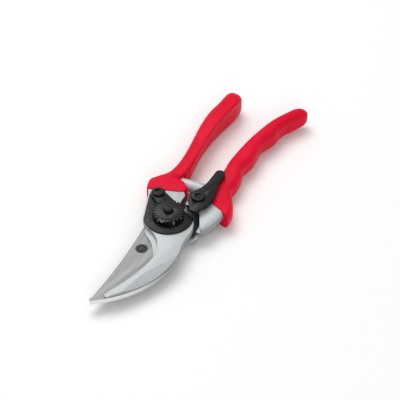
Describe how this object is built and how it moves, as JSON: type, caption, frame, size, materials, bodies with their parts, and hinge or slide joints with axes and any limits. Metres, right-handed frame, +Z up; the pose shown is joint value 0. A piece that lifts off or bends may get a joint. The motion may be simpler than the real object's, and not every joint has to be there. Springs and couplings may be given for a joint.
{
  "type": "pruning shears",
  "caption": "One-hand bypass pruning shears: curved blade and hooked counter-blade on a bolted pivot, two coated handles, return spring and a thumb catch, shown closed.",
  "frame": {"origin": "on the pivot axis, at the underside of the pivot bolt's head, which the shears lie on", "axes": "+X from the pivot towards the jaws, +Y towards the handle of the blade, +Z up along the pivot towards the nut"},
  "size_m": [0.2058, 0.062, 0.0204],
  "materials": {
    "cast_metal": "satin, machined on top, sand-blasted sides",
    "red_coat": "satin red dipped plastic",
    "blade_steel": "ground steel, brushed across",
    "black_steel": "black semi-gloss",
    "spring_steel": "bright spring steel",
    "bush_bronze": "plain bronze"
  },
  "bodies": {
    "hook_half": {"hook_handle": "cast_metal", "hook_grip": "red_coat", "head_plate": "black_steel", "toothed_nut": "black_steel", "tooth_segment": "black_steel", "lock_screw": "black_steel", "pivot_bolt": "black_steel", "return_spring": "spring_steel"},
    "blade_half": {"blade_handle": "cast_metal", "blade_grip": "red_coat", "blade": "blade_steel", "blade_pins": "spring_steel", "pivot_bush": "bush_bronze", "catch_screw": "black_steel", "catch_washer": "spring_steel"},
    "thumb_catch": {"thumb_catch": "black_steel"}
  },
  "joints": [
    {"name": "pivot", "type": "hinge", "parent": "hook_half", "child": "blade_half", "pos_m": [0, 0, 0.009], "axis": [0, 0, -1], "range_deg": [0, 26], "deforming": ["return_spring"]},
    {"name": "catch_pivot", "type": "hinge", "parent": "blade_half", "child": "thumb_catch", "pos_m": [-0.0195, 0.0084, 0.0155], "axis": [0, 0, 1], "range_deg": [0, 13]}
  ]
}
